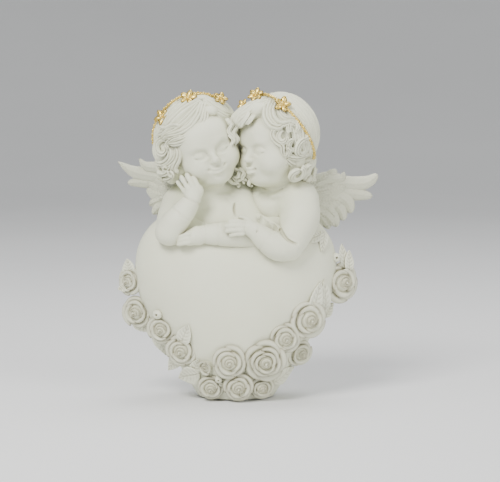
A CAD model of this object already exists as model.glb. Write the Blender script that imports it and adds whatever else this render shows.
"""Looks of the resin cherub figurine: sculpted figures, garland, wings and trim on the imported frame.

Lengths in this script are millimetres in the frame's axes until a mesh is made, then metres.
"""

import math

import bpy
import numpy as np
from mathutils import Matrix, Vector


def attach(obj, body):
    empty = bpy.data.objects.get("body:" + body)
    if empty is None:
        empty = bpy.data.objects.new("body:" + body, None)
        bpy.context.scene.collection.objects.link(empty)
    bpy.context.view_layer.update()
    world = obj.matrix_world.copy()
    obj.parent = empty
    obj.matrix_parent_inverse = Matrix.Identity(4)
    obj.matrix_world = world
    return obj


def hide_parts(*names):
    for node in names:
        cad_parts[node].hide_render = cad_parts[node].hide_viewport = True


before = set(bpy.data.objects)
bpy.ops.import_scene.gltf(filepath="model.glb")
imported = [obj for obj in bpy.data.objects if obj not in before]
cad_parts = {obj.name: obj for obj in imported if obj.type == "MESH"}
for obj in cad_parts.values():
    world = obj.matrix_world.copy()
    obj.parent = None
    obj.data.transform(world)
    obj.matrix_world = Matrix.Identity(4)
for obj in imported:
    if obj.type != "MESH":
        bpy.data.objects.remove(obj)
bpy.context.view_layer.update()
MM = 0.001  # metres in a millimetre
TINY = 1e-12  # keeps a vector of no length from dividing by nothing


# ---------------------------------------------------------------- small vector helpers


def unit(v):
    """v as a float array of length one."""
    v = np.asarray(v, float)
    return v / np.linalg.norm(v)


def unit_rows(v, spare=0.0):
    """The vectors along v's last axis at length one. A little spare guards those of no length."""
    return v / (np.linalg.norm(v, axis=-1, keepdims=True) + spare)


def axes_of(forward, up):
    """Rows: right, back and up of something that looks along forward."""
    back = -unit(forward)
    up = unit(np.asarray(up, float) - back * np.dot(up, back))
    return np.array([np.cross(back, up), back, up])


def turned(normal, along):
    """Rows: side, along and normal of a piece that faces normal, with its own length near to along."""
    normal = unit(normal)
    along = unit(np.asarray(along, float) - normal * np.dot(along, normal))
    return np.array([np.cross(along, normal), along, normal])


def smooth_path(points, count):
    """count points on a Catmull-Rom curve through points. Each point may carry extra columns."""
    p = np.asarray(points, float)
    p = np.vstack([2 * p[0] - p[1], p, 2 * p[-1] - p[-2]])
    spans = len(p) - 3
    t = np.linspace(0, spans, count)
    i = np.minimum(t.astype(int), spans - 1)
    t = (t - i)[:, None]
    a, b, c, d = p[i], p[i + 1], p[i + 2], p[i + 3]
    return 0.5 * (2 * b + (c - a) * t + (2 * a - 5 * b + 4 * c - d) * t**2 + (3 * b - a - 3 * c + d) * t**3)


def sheet_grid(rows, columns):
    """Shares along a sheet, 0 to 1 as a column, and across it, -1 to 1 as a row."""
    return np.linspace(0, 1, rows)[:, None], np.linspace(-1, 1, columns)[None, :]


def round_axis(out, angle, up):
    """Points at those distances out from an upright axis, angles round it and heights along it."""
    return np.stack([out * np.cos(angle), out * np.sin(angle), up + 0 * angle], -1)


# ---------------------------------------------------------------- clay: distances on a grid


def soft_min(a, b, k):
    """The smaller of a and b, rounded where they are within k of each other."""
    low = np.minimum(a, b)
    if k <= 0:
        return low
    near = np.maximum(k - np.abs(a - b), 0) / k
    return low - near * near * (k * 0.25)


FAR = 9.0  # the distance an empty grid starts with
RUN_MARGIN = 2.2  # how far from a run its distances are worked out
RELAX_PASSES = 2


class Clay:
    """A block of clay: signed distances on a grid, shaped by adding and cutting rounded forms."""

    def __init__(self, low, high, step):
        self.low = np.array(low, float)
        self.step = step
        self.count = np.ceil((np.array(high, float) - self.low) / step).astype(int) + 1
        self.field = np.full(self.count, FAR, np.float32)

    def window(self, low, high):
        """The grid points between low and high, as a slice and their broadcast coordinates."""
        a = np.clip(np.floor((np.array(low) - self.low) / self.step).astype(int), 0, self.count)
        b = np.clip(np.ceil((np.array(high) - self.low) / self.step).astype(int) + 1, 0, self.count)
        if (b <= a).any():
            return None
        lines = [self.low[i] + self.step * np.arange(a[i], b[i]) for i in range(3)]
        shape = np.eye(3, dtype=int) * -1 + np.where(np.eye(3, dtype=int), 0, 1)
        grids = [line.astype(np.float32).reshape(shape[i]) for i, line in enumerate(lines)]
        return tuple(slice(p, q) for p, q in zip(a, b)), grids

    def apply(self, place, distance, k, cut):
        """Adds or cuts a form, given its distances at place."""
        old = self.field[place]
        if cut:
            self.field[place] = -soft_min(-old, distance, k)
        else:
            self.field[place] = soft_min(old, distance, k)

    def egg(self, centre, radii, k=2.0, cut=False, turn=None):
        """An ellipsoid. turn holds its own axes as rows."""
        centre = np.asarray(centre, float)
        radii = np.broadcast_to(np.asarray(radii, float), 3)
        reach = (max(radii) if turn is not None else radii) + k + 2 * self.step
        found = self.window(centre - reach, centre + reach)
        if found is None:
            return
        place, (x, y, z) = found
        x, y, z = x - np.float32(centre[0]), y - np.float32(centre[1]), z - np.float32(centre[2])
        if turn is not None:
            t = np.asarray(turn, np.float32)
            x, y, z = (t[i, 0] * x + t[i, 1] * y + t[i, 2] * z for i in range(3))
        a, b, c = (np.float32(1 / r) for r in radii)
        k0 = np.sqrt((x * a) ** 2 + (y * b) ** 2 + (z * c) ** 2)
        k1 = np.sqrt((x * a * a) ** 2 + (y * b * b) ** 2 + (z * c * c) ** 2) + 1e-6
        self.apply(place, k0 * (k0 - 1) / k1, k, cut)

    def path(self, points, radii, k=1.0, cut=False, count=None):
        """A round run through points, with a radius at each point."""
        points = np.asarray(points, float)
        radii = np.broadcast_to(np.asarray(radii, float), len(points))
        line = np.column_stack([points, radii])
        if count:
            line = smooth_path(line, count)
        reach = line[:, 3].max() + k + 2 * self.step
        found = self.window(line[:, :3].min(0) - reach, line[:, :3].max(0) + reach)
        if found is None:
            return
        place = found[0]
        best = np.full([s.stop - s.start for s in place], FAR, np.float32)
        for p, q in zip(line, line[1:]):
            self.run(best, place, p, q)
        self.apply(place, best, k, cut)

    def run(self, best, place, p, q):
        """Lowers best to the distance from one tapered run, near that run only."""
        reach = max(p[3], q[3]) + RUN_MARGIN
        found = self.window(np.minimum(p, q)[:3] - reach, np.maximum(p, q)[:3] + reach)
        if found is None:
            return
        near, (x, y, z) = found
        inner = []
        keep = []
        for n, s in zip(near, place):
            a, b = max(n.start, s.start), min(n.stop, s.stop)
            if b <= a:
                return
            inner.append(slice(a - s.start, b - s.start))
            keep.append(slice(a - n.start, b - n.start))
        x, y, z = x[keep[0]], y[:, keep[1]], z[:, :, keep[2]]
        along = (q - p)[:3]
        size = max(float(along @ along), 1e-9)
        h = ((x - p[0]) * along[0] + (y - p[1]) * along[1] + (z - p[2]) * along[2]) / size
        h = np.clip(h, 0, 1).astype(np.float32)
        dx, dy, dz = x - p[0] - h * along[0], y - p[1] - h * along[1], z - p[2] - h * along[2]
        distance = np.sqrt(dx * dx + dy * dy + dz * dz) - (p[3] + (q[3] - p[3]) * h)
        target = best[tuple(inner)]
        np.minimum(target, distance.astype(np.float32), out=target)

    def reach(self, x, z, side=-1):
        """Y of the clay's front at that place across and up, or of its back where side is 1."""
        i, k = np.round((np.array([x, z]) - self.low[[0, 2]]) / self.step).astype(int)
        column = self.field[i, ::-side, k]
        first = max(1, int(np.argmax(column < 0)))
        share = column[first - 1] / (column[first - 1] - column[first] + 1e-9)
        place = self.step * (first - 1 + share)
        return float(self.low[1] + (place if side < 0 else self.step * (len(column) - 1) - place))

    def crease(self, places, thick, deep, k=0.35, side=-1):
        """A narrow fold cut into the front or the back, through places given across and up."""
        line = smooth_path(places, 6 * len(places))
        share = np.sin(np.pi * np.linspace(0.08, 0.92, len(line)))
        faces = [self.reach(x, z, side) for x, z in line]
        for level in np.arange(0, deep, thick * 0.8):
            spots = [(x, y - side * level * part, z) for (x, z), y, part in zip(line, faces, share)]
            self.path(spots, thick * (0.35 + 0.65 * share), k=k, cut=True)

    def skin(self):
        """The clay's surface as vertices and quads: one vertex in each cell that the surface crosses."""
        field = self.field
        field[0] = field[-1] = 1
        field[:, 0] = field[:, -1] = 1
        field[:, :, 0] = field[:, :, -1] = 1
        inside = field < 0
        corners = [(i, j, k) for i in (0, 1) for j in (0, 1) for k in (0, 1)]
        n = self.count - 1
        part = [inside[i : i + n[0], j : j + n[1], k : k + n[2]] for i, j, k in corners]
        total = sum(p.astype(np.int8) for p in part)
        cells = np.argwhere((total > 0) & (total < 8))
        index = np.full(n, -1, np.int32)
        index[tuple(cells.T)] = np.arange(len(cells))
        spots = np.zeros((len(cells), 3))
        crossings = np.zeros(len(cells))
        for a in corners:
            for axis in range(3):
                if a[axis]:
                    continue
                b = list(a)
                b[axis] = 1
                fa = field[tuple((cells + a).T)]
                fb = field[tuple((cells + b).T)]
                cross = (fa < 0) != (fb < 0)
                share = fa[cross] / (fa[cross] - fb[cross])
                at = np.tile(np.array(a, float), (cross.sum(), 1))
                at[:, axis] += share
                spots[cross] += at
                crossings[cross] += 1
        points = self.low + self.step * (cells + spots / crossings[:, None])
        quads = []
        for axis in range(3):
            u, v = (axis + 1) % 3, (axis + 2) % 3
            first = np.take(inside, range(0, self.count[axis] - 1), axis)
            second = np.take(inside, range(1, self.count[axis]), axis)
            edges = np.argwhere(first != second)
            flip = first[tuple(edges.T)]
            ring = []
            for du, dv in ((0, 0), (1, 0), (1, 1), (0, 1)):
                cell = edges.copy()
                cell[:, u] -= du
                cell[:, v] -= dv
                ring.append(index[tuple(cell.T)])
            ring = np.stack(ring, 1)
            quads += [ring[flip], ring[~flip][:, ::-1]]
        quads = np.vstack(quads)
        for _ in range(RELAX_PASSES):
            points = relaxed(points, quads)
        return points, quads


def relaxed(points, quads):
    """Each point moved halfway to the middle of its neighbours."""
    total = np.zeros_like(points)
    count = np.zeros(len(points))
    for a, b in ((0, 1), (1, 2), (2, 3), (3, 0)):
        for p, q in ((a, b), (b, a)):
            for axis in range(3):
                total[:, axis] += np.bincount(quads[:, p], points[quads[:, q], axis], len(points))
            count += np.bincount(quads[:, p], minlength=len(points))
    return points * 0.5 + total / np.maximum(count, 1)[:, None] * 0.5


# ---------------------------------------------------------------- making pieces


def in_scene(name, data):
    """A new object with that data, linked into the scene."""
    made = bpy.data.objects.new(name, data)
    bpy.context.scene.collection.objects.link(made)
    return made


def piece(name, parts, material, nodes):
    """One object from (points, faces) parts in millimetres. It stands for the named CAD nodes."""
    points, faces, start = [], [], 0
    for spots, loops in parts:
        points.append(np.asarray(spots, float))
        if isinstance(loops, np.ndarray):
            faces += (loops + start).tolist()
        else:
            faces += [[spot + start for spot in loop] for loop in loops]
        start += len(spots)
    mesh = bpy.data.meshes.new(name)
    mesh.from_pydata((np.vstack(points) * MM).tolist(), [], faces)
    mesh.validate()
    mesh.polygons.foreach_set("use_smooth", [True] * len(mesh.polygons))
    mesh.materials.append(material)
    made = in_scene(name, mesh)
    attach(made, "root")
    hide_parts(*nodes)
    return made


def to_world(points, middle, axes):
    """Points in a figure's own axes, as rows, moved into the frame."""
    return np.asarray(points) @ np.asarray(axes) + np.asarray(middle, float)


def sheet_solid(upper, lower):
    """A closed slab between two grids of points of the same shape (rows, columns, 3)."""
    rows, columns = upper.shape[:2]
    points = np.vstack([upper.reshape(-1, 3), lower.reshape(-1, 3)])
    index = np.arange(rows * columns).reshape(rows, columns)
    top = np.stack([index[:-1, :-1], index[:-1, 1:], index[1:, 1:], index[1:, :-1]], -1).reshape(-1, 4)
    bottom = top[:, ::-1] + rows * columns
    rim = np.concatenate([index[0, :-1], index[:-1, -1], index[-1, :0:-1], index[:0:-1, 0]])
    after = np.roll(rim, -1)
    side = np.stack([rim, rim + rows * columns, after + rows * columns, after], -1)
    return points, np.vstack([top, bottom, side])


def ring_faces(rings, sides):
    """The faces of a skin over rings of points, closed at each end by a fan to one more point."""
    i = np.arange(sides)
    j = (i + 1) % sides
    faces = []
    for r in range(rings - 1):
        here, after = r * sides, (r + 1) * sides
        faces += np.stack([here + i, here + j, after + j, after + i], -1).tolist()
    last = (rings - 1) * sides
    near, far = rings * sides, rings * sides + 1
    faces += [[b, a, near] for a, b in zip(i.tolist(), j.tolist())]
    faces += [[last + a, last + b, far] for a, b in zip(i.tolist(), j.tolist())]
    return faces


def tube(points, radii, sides):
    """A closed tube along points, with its ends drawn in."""
    p = np.asarray(points, float)
    radii = np.broadcast_to(np.asarray(radii, float), len(p)).copy()
    way = unit_rows(np.gradient(p, axis=0), TINY)
    side = unit_rows(np.cross(way, [0.31, 0.17, 0.93]), TINY)
    other = np.cross(way, side)
    turn = np.linspace(0, 2 * np.pi, sides, endpoint=False)
    spokes = np.cos(turn)[None, :, None] * side[:, None] + np.sin(turn)[None, :, None] * other[:, None]
    rings = p[:, None] + radii[:, None, None] * spokes
    ends = [p[:1] - way[:1] * radii[0] * 0.6, p[-1:] + way[-1:] * radii[-1] * 0.6]
    return np.vstack([rings.reshape(-1, 3), *ends]), ring_faces(len(p), sides)


def lathe(profile, sides=28):
    """A closed solid turned from (out, up) points that start and end on the axis."""
    inner = np.asarray(profile[1:-1], float)
    turn = np.linspace(0, 2 * np.pi, sides, endpoint=False)
    rings = round_axis(inner[:, :1], turn, inner[:, 1:])
    points = np.vstack([rings.reshape(-1, 3), [[0, 0, profile[0][1]]], [[0, 0, profile[-1][1]]]])
    return points, ring_faces(len(inner), sides)


def shell_of(surface, thick, power=6):
    """A closed shell round a grid of points, thinning to a rounded rim."""
    normal = unit_rows(np.cross(np.gradient(surface, axis=0), np.gradient(surface, axis=1)), TINY)
    t, w = sheet_grid(*surface.shape[:2])
    rim = np.sqrt(np.clip((1 - t**power) * (1 - np.abs(w) ** power), 0.015, 1))
    half = (rim * thick / 2)[..., None]
    return sheet_solid(surface + normal * half, surface - normal * half)


# ---------------------------------------------------------------- materials


def new_material(name):
    """A new material, its node tree, its main shader and the object's own coordinates."""
    material = bpy.data.materials.new(name)
    material.use_nodes = True
    tree = material.node_tree
    return material, tree, tree.nodes["Principled BSDF"], add(tree, "ShaderNodeTexCoord").outputs["Object"]


def slot_material(slot):
    """A new material for one of the record's slots."""
    made = new_material(slot)
    made[0]["slot"] = slot
    return made


def add(tree, kind, inputs=(), **settings):
    """A node of that kind, with its settings and its unlinked input values."""
    node = tree.nodes.new(kind)
    for name, value in settings.items():
        setattr(node, name, value)
    for name, value in dict(inputs).items():
        node.inputs[name].default_value = value
    return node


def ramp(tree, source, stops):
    """A colour ramp on source. Each stop is a position and a colour or a grey level."""
    node = add(tree, "ShaderNodeValToRGB")
    line = node.color_ramp
    while len(line.elements) < len(stops):
        line.elements.new(0.5)
    for element, (position, value) in zip(line.elements, stops):
        element.position = position
        element.color = (value, value, value, 1) if isinstance(value, float) else (*value, 1)
    tree.links.new(source, node.inputs["Fac"])
    return node.outputs["Color"]


def blend_colour(tree, factor, a, b, mode="MIX"):
    """Two colours mixed by factor. Each may be a socket or a constant."""
    node = add(tree, "ShaderNodeMix", data_type="RGBA", blend_type=mode)
    for name, value in ((0, factor), (6, a), (7, b)):
        if isinstance(value, (int, float)):
            node.inputs[name].default_value = value
        elif isinstance(value, tuple):
            node.inputs[name].default_value = (*value, 1)
        else:
            tree.links.new(value, node.inputs[name])
    return node.outputs[2]


def texture(tree, place, kind, inputs):
    """A texture node laid out along the place given."""
    node = add(tree, kind, inputs)
    tree.links.new(place, node.inputs["Vector"])
    return node


def roughen(tree, shader, source, inputs):
    """Lets source set the shader's roughness within a range."""
    rough = add(tree, "ShaderNodeMapRange", inputs)
    tree.links.new(source, rough.inputs["Value"])
    tree.links.new(rough.outputs["Result"], shader.inputs["Roughness"])


def relief(tree, shader, height, strength, distance):
    """Gives the shader a fine relief from a height."""
    bump = add(tree, "ShaderNodeBump", {"Strength": strength, "Distance": distance})
    tree.links.new(height, bump.inputs["Height"])
    tree.links.new(bump.outputs["Normal"], shader.inputs["Normal"])


SMOOTHEST, ROUGHEST = 0.56, 0.70  # the range of the resin's roughness
CAST_GRAIN = 0.00006  # metres
PALE_EDGE = 1.06  # how much lighter than the resin a worn edge is


def resin(name, base, wash, depth, reach, worn=True):
    """Matte cast resin: a warm white with a wash that darkens the hollows, and a fine cast grain."""
    material, tree, shader, place = slot_material(name)
    hollow = add(tree, "ShaderNodeAmbientOcclusion", {"Distance": reach}, samples=8, only_local=False)
    wash_in = ramp(tree, hollow.outputs["AO"], [(0.0, 1.0), (0.5, 0.45), (0.95, 0.0)])
    cloud = texture(tree, place, "ShaderNodeTexNoise", {"Scale": 45.0, "Detail": 4.0, "Roughness": 0.6})
    mottle = ramp(tree, cloud.outputs["Fac"], [(0.35, 0.0), (0.7, 1.0)])
    ivory = blend_colour(tree, mottle, base, tuple(c * f for c, f in zip(base, (0.965, 0.96, 0.945))))
    if worn:
        bend = add(tree, "ShaderNodeNewGeometry").outputs["Pointiness"]
        groove = ramp(tree, bend, [(0.40, 1.0), (0.485, 0.0)])
        wash_in = blend_colour(tree, 1.0, wash_in, groove, "SCREEN")
    strength = blend_colour(tree, 1.0, wash_in, (depth, depth, depth), "MULTIPLY")
    colour = blend_colour(tree, strength, ivory, wash)
    if worn:
        edge = ramp(tree, bend, [(0.52, 0.0), (0.62, 1.0)])
        lift = blend_colour(tree, 1.0, edge, (0.35, 0.35, 0.35), "MULTIPLY")
        colour = blend_colour(tree, lift, colour, tuple(min(1.0, c * PALE_EDGE) for c in base))
    tree.links.new(colour, shader.inputs["Base Color"])
    shader.inputs["Specular IOR Level"].default_value = 0.35
    span = {"From Min": 0.3, "From Max": 0.7, "To Min": SMOOTHEST, "To Max": ROUGHEST}
    roughen(tree, shader, cloud.outputs["Fac"], span)
    fine = texture(tree, place, "ShaderNodeTexNoise", {"Scale": 2600.0, "Detail": 3.0, "Roughness": 0.55})
    relief(tree, shader, fine.outputs["Fac"], 0.35, CAST_GRAIN)
    return material


def gold_paint(name):
    """Bright gold paint with a fine glitter, darker in its grooves."""
    material, tree, shader, place = slot_material(name)
    flakes = texture(tree, place, "ShaderNodeTexVoronoi", {"Scale": 2400.0})
    grey = add(tree, "ShaderNodeSeparateColor")
    tree.links.new(flakes.outputs["Color"], grey.inputs["Color"])
    stops = [(0.0, (0.62, 0.40, 0.05)), (0.5, (0.88, 0.64, 0.13)), (1.0, (1.0, 0.88, 0.42))]
    gold = ramp(tree, grey.outputs["Red"], stops)
    bend = add(tree, "ShaderNodeNewGeometry").outputs["Pointiness"]
    groove = ramp(tree, bend, [(0.42, 1.0), (0.49, 0.0)])
    tree.links.new(blend_colour(tree, groove, gold, (0.20, 0.12, 0.02)), shader.inputs["Base Color"])
    shader.inputs["Metallic"].default_value = 0.85
    roughen(tree, shader, grey.outputs["Green"], {"To Min": 0.22, "To Max": 0.5})
    relief(tree, shader, grey.outputs["Blue"], 0.6, 0.00012)
    return material


def felt_cloth(name):
    """Pressed felt: short tangled fibres."""
    material, tree, shader, place = slot_material(name)
    fibre = texture(tree, place, "ShaderNodeTexNoise", {"Scale": 900.0, "Detail": 6.0, "Distortion": 2.0})
    colour = ramp(tree, fibre.outputs["Fac"], [(0.3, (0.45, 0.43, 0.38)), (0.7, (0.72, 0.70, 0.64))])
    tree.links.new(colour, shader.inputs["Base Color"])
    shader.inputs["Roughness"].default_value = 0.95
    relief(tree, shader, fibre.outputs["Fac"], 0.7, 0.0003)
    return material


IVORY = (0.775, 0.79, 0.62)
HEART_RESIN = resin("heart_resin", IVORY, (0.40, 0.38, 0.29), 0.5, 0.005, worn=False)
FIGURE_RESIN = resin("figure_resin", IVORY, (0.33, 0.30, 0.20), 0.72, 0.0040)
HAIR_RESIN = resin("figure_resin", IVORY, (0.33, 0.305, 0.205), 0.70, 0.0026)
WING_RESIN = resin("figure_resin", (0.60, 0.61, 0.48), (0.24, 0.225, 0.15), 0.85, 0.0034)
GARLAND_RESIN = resin("garland_resin", (0.765, 0.775, 0.62), (0.31, 0.28, 0.175), 0.85, 0.0028)
GOLD = gold_paint("gold_paint")
FELT = felt_cloth("felt")


# ---------------------------------------------------------------- heads


def model_face(clay, smile, pucker):
    """A calm child's face on the usual proportions, looking along -Y, with lowered lids."""
    clay.egg((0, 0, 0), (17.2, 15.6, 18.0), k=0)
    clay.egg((0, 6, 7), (18.6, 19.5, 17.0), k=6)
    clay.egg((0, -5.5, 9.5), (14.0, 11.2, 10.5), k=6)
    for side in (-1, 1):
        clay.egg((side * 8.6, -8.4, -6.2), (7.4, 7.2, 7.0), k=5)
        clay.egg((side * 6.8, -17.6, 1.3), (4.4, 3.4, 2.9), k=3.2, cut=True)
        clay.egg((side * 6.6, -12.4, 0.9), (4.1, 3.0, 2.9), k=0.9)
    clay.egg((0, -11.6, -14.4), (4.4, 4.2, 3.8), k=4)
    clay.egg((0, -5.5, -15.5), (9.5, 8, 5), k=5)
    for side in (-1, 1):
        brow = [(side * 10.4, -12.6, 5.9), (side * 6.6, -15.1, 6.9), (side * 2.6, -15.9, 5.6)]
        clay.path(brow, [0.8, 1.0, 0.8], k=2.6, count=8)
    # nose
    clay.path([(0, -14.6, 4.6), (0, -16.2, 0.5), (0, -18.2, -2.9)], [1.3, 1.35, 1.8], k=2.4, count=8)
    clay.egg((0, -18.5, -3.5), (2.0, 1.9, 1.75), k=1.4)
    for side in (-1, 1):
        clay.egg((side * 1.95, -17.1, -4.1), (1.25, 1.5, 1.15), k=1.0)
        clay.egg((side * 1.05, -18.2, -5.35), (0.55, 0.7, 0.42), k=0.4, cut=True)
    # muzzle and mouth
    clay.egg((0, -13.4, -9.2), (5.6, 3.6, 4.4), k=3)
    out = 0.9 * pucker
    wide = 4.3 - 1.5 * pucker
    rise = 1.15 * smile
    clay.path([(0, -17.6, -6.3), (0, -17.3 - out, -8.0)], [0.35, 0.5], k=0.9, cut=True)
    for side in (-1, 1):
        clay.path(
            [(0, -16.8 - out, -8.9), (side * 1.3, -16.9 - out, -8.6), (side * wide, -14.7, -9.3 + rise)],
            [0.75, 0.95, 0.35],
            k=0.9,
            count=8,
        )
        clay.path(
            [(0, -16.5 - out, -11.0), (side * 1.9, -16.2 - out, -10.8), (side * wide, -14.6, -9.7 + rise)],
            [1.25, 1.05, 0.3],
            k=0.8,
            count=8,
        )
        clay.egg((side * (wide + 0.7), -15.6, -9.3 + rise), (0.55, 0.6, 0.6), k=1.4, cut=True)
    corners = [(side * (wide + 0.3), -15.4, -9.4 + rise) for side in (-1, 1)]
    lips = [(-1.7, -17.7 - out, -9.8), (0, -18.0 - out, -9.65), (1.7, -17.7 - out, -9.8)]
    line = [corners[0], *lips, corners[1]]
    clay.path(line, [0.22, 0.3, 0.34, 0.3, 0.22], k=0.35, cut=True, count=20)
    clay.path([(-1.8, -16.9, -13.0), (1.8, -16.9, -13.0)], [0.7, 0.7], k=1.8, cut=True)
    # lids: a fold above each eye, the lash line along its lower edge, and a soft swelling below that
    fold = np.array([(2.7, -14.9, 1.0), (4.6, -15.9, 3.0), (7.2, -15.9, 3.6), (10.6, -13.2, 2.2)])
    lashes = np.array([(2.7, -15.0, 0.1), (4.8, -15.75, -0.75), (7.4, -15.55, -0.8), (10.3, -13.3, 0.4)])
    below = np.array([(3.4, -14.9, -1.7), (6.4, -15.3, -2.5), (9.4, -13.6, -1.7)])
    for side in (-1, 1):
        mirror = np.array([side, 1, 1])
        clay.path(fold * mirror, [0.2, 0.34, 0.34, 0.2], k=0.5, cut=True, count=14)
        clay.path(lashes * mirror, [0.2, 0.36, 0.38, 0.24], k=0.35, cut=True, count=14)
        clay.path(below * mirror, [0.3, 0.4, 0.3], k=1.2, count=10)


def model_ear(clay, side):
    """A small round ear with its rim and hollow."""
    clay.egg((side * 17.2, 1.0, -1.0), (2.2, 3.6, 4.6), k=1.2)
    clay.egg((side * 19.0, 0.4, -0.4), (1.1, 2.3, 3.2), k=0.6, cut=True)
    clay.path(
        [(side * 18.4, -1.8, -3.0), (side * 18.9, -2.2, 0.6), (side * 18.8, 0.4, 3.5),
         (side * 18.2, 3.2, 1.6), (side * 17.8, 2.8, -2.4)],
        [0.6, 0.75, 0.85, 0.75, 0.6],
        k=0.5,
        count=18,
    )


def model_head(name, middle, axes, nodes, smile, pucker, neck):
    """A head with its neck, sculpted in its own axes and set in the frame."""
    clay = Clay((-23, -23, -26), (23, 28, 27), 0.42)
    model_face(clay, smile, pucker)
    for side in (-1, 1):
        model_ear(clay, side)
    start = np.asarray(axes) @ (np.asarray(neck, float) - middle)
    clay.path([(0, 4, -9), start * 0.93], [10.5, 9.6], k=4)
    points, quads = clay.skin()
    return piece(name, [(to_world(points, middle, axes), quads)], FIGURE_RESIN, nodes)


# ---------------------------------------------------------------- hair


LOCK_COLUMNS, COIL_COLUMNS, STRAND_COLUMNS = 15, 13, 14  # points across a ribbon of hair
COIL_STEPS, STRAND_STEPS = 38, 26  # points along it


class Mop:
    """A head of hair in its own axes: a rounded cap and locks that follow it."""

    def __init__(self, middle, radii):
        self.middle = np.asarray(middle, float)
        self.radii = np.asarray(radii, float)

    def lay(self, points, lift):
        """Points moved along their own direction from the middle until they lie on the cap, then lifted."""
        p = np.asarray(points, float) - self.middle
        scale = np.linalg.norm(p / self.radii, axis=1)
        return self.middle + p / scale[:, None] + unit_rows(p) * np.asarray(lift)[:, None]

    def front(self, x, z, lift=0.0):
        """The point of the cap's front side at that place across and up, or of its edge beyond it."""
        u = (x - self.middle[0]) / self.radii[0]
        w = (z - self.middle[2]) / self.radii[2]
        deep = math.sqrt(max(0.0, 1 - u * u - w * w))
        return (x, self.middle[1] - self.radii[1] * deep - lift, z)

    def lock(self, places, width, strands, lift, thick, wave, tip=0.25, seed=0, steps=34):
        """A lock of grooved strands along places, each (across, up) on the front or a free point."""
        rng = np.random.default_rng(seed)
        spots = [np.array(self.front(*p) if len(p) == 2 else p, float) for p in places]
        line = smooth_path(spots, steps)
        out = unit_rows((line - self.middle) / self.radii**2)
        return ribbon(line + out * lift, out, width, strands, thick, wave, tip, rng, LOCK_COLUMNS)

    def coil(self, place, radius, start, turns, width, strands, lift, thick, way, seed,
             lean=(0, 0, 0), close=0.66):
        """A lock rolled inwards round a place on the cap, its open middle left dark."""
        rng = np.random.default_rng(seed)
        at = np.array(self.front(*place) if len(place) == 2 else place, float)
        out = unit(unit((at - self.middle) / self.radii**2) + np.asarray(lean, float))
        axes = turned(out, (0.05, 0, 1))
        t = np.linspace(0, 1, COIL_STEPS)
        reach = radius * (1 - close * t**0.8)
        angle = math.radians(start) + way * turns * 2 * np.pi * t
        across, up = np.cos(angle) * reach, np.sin(angle) * reach * 1.12
        line = at + across[:, None] * axes[0] + up[:, None] * axes[1]
        line = line + np.outer(lift + 0.9 * np.sin(np.pi * t) - 0.7 * t, out)
        normal = unit_rows(out + 0.6 * (line - at) / radius)
        return ribbon(line, normal, width, strands, thick, 0.0, 0.3, rng, COIL_COLUMNS)


def ribbon(line, normal, width, strands, thick, wave, tip, rng, columns):
    """A closed ribbon of rounded strands along a line. It narrows to its tip and sits on its back."""
    way = unit_rows(np.gradient(line, axis=0), TINY)
    side = unit_rows(np.cross(way, normal), TINY)
    t, w = sheet_grid(len(line), columns)
    swell = np.clip(np.sin(np.pi * (0.1 + 0.9 * t)), 0, 1) ** 0.55
    half = np.where(t < 0.5, 0.55 + 0.45 * swell, tip + (1 - tip) * swell)
    half = width / 2 * half * (0.3 + 0.7 * np.minimum(1, (1 - t) * 9))
    drift = 0.2 * np.sin(t * 5.0 + rng.uniform(0, 6)) + rng.uniform(-0.2, 0.2)
    groove = np.abs(np.sin((w * strands / 2 + drift + 0.5 * (strands % 2)) * np.pi)) ** 0.55
    arch = np.sqrt(np.clip(1 - np.abs(w) ** 2.6, 0, 1))
    ends = np.sqrt(np.clip(1 - t**18, 0, 1)) * np.sqrt(np.clip(1 - (1 - t) ** 18, 0, 1))
    sway = wave * np.sin(t * 2.6 * np.pi + rng.uniform(0, 6))
    fine = 0.06 * np.sin((w * strands * 2.5 + 1.2 * drift) * 2 * np.pi)
    high = thick * arch * (0.1 + (1.05 * groove + fine) * np.minimum(1, half * 0.9)) * ends
    low = thick * 0.8 * arch * ends
    across = (w * half + sway)[..., None] * side[:, None, :]
    base = line[:, None, :] + across
    upper = base + high[..., None] * normal[:, None, :]
    lower = base - low[..., None] * normal[:, None, :]
    return sheet_solid(upper, lower)


NAPE = -0.55  # how far below a head's middle its combed strands end, as a share of its half height
COMB_LIFT = 0.2


def cap_strands(mop, crown, start, stop, count, width, seed, wave=0.6):
    """Locks that fall from the crown to the nape, from one compass direction to another in degrees."""
    rng = np.random.default_rng(seed)
    crown = np.asarray(crown, float)
    t = np.linspace(0.03, 1, STRAND_STEPS)
    parts = []
    for n in range(count):
        angle = math.radians(start + (stop - start) * (n + 0.5) / count)
        drop = NAPE + rng.uniform(-0.08, 0.08)
        foot = mop.middle + mop.radii * np.array([math.cos(angle) * 0.84, math.sin(angle) * 0.84, drop])
        line = crown * (1 - t)[:, None] + foot * t[:, None]
        line += np.outer(np.sin(np.pi * t) * 10, [math.cos(angle), math.sin(angle), 0.25])
        phase = rng.uniform(-0.6, 0.6) + n * 0.35
        side = np.array([-math.sin(angle), math.cos(angle), 0.0])
        line += np.outer(np.sin(t * 3.4 * np.pi + phase) * wave * t, side)
        proud = 0.25 if n % 2 else 0.0
        line = mop.lay(line, COMB_LIFT + 0.35 * np.sin(t * 2.9 * np.pi + phase) * t + proud)
        out = unit_rows((line - mop.middle) / mop.radii**2)
        parts.append(ribbon(line, out, width, 3, 1.5, 0.0, 0.6, rng, STRAND_COLUMNS))
    return parts


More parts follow.
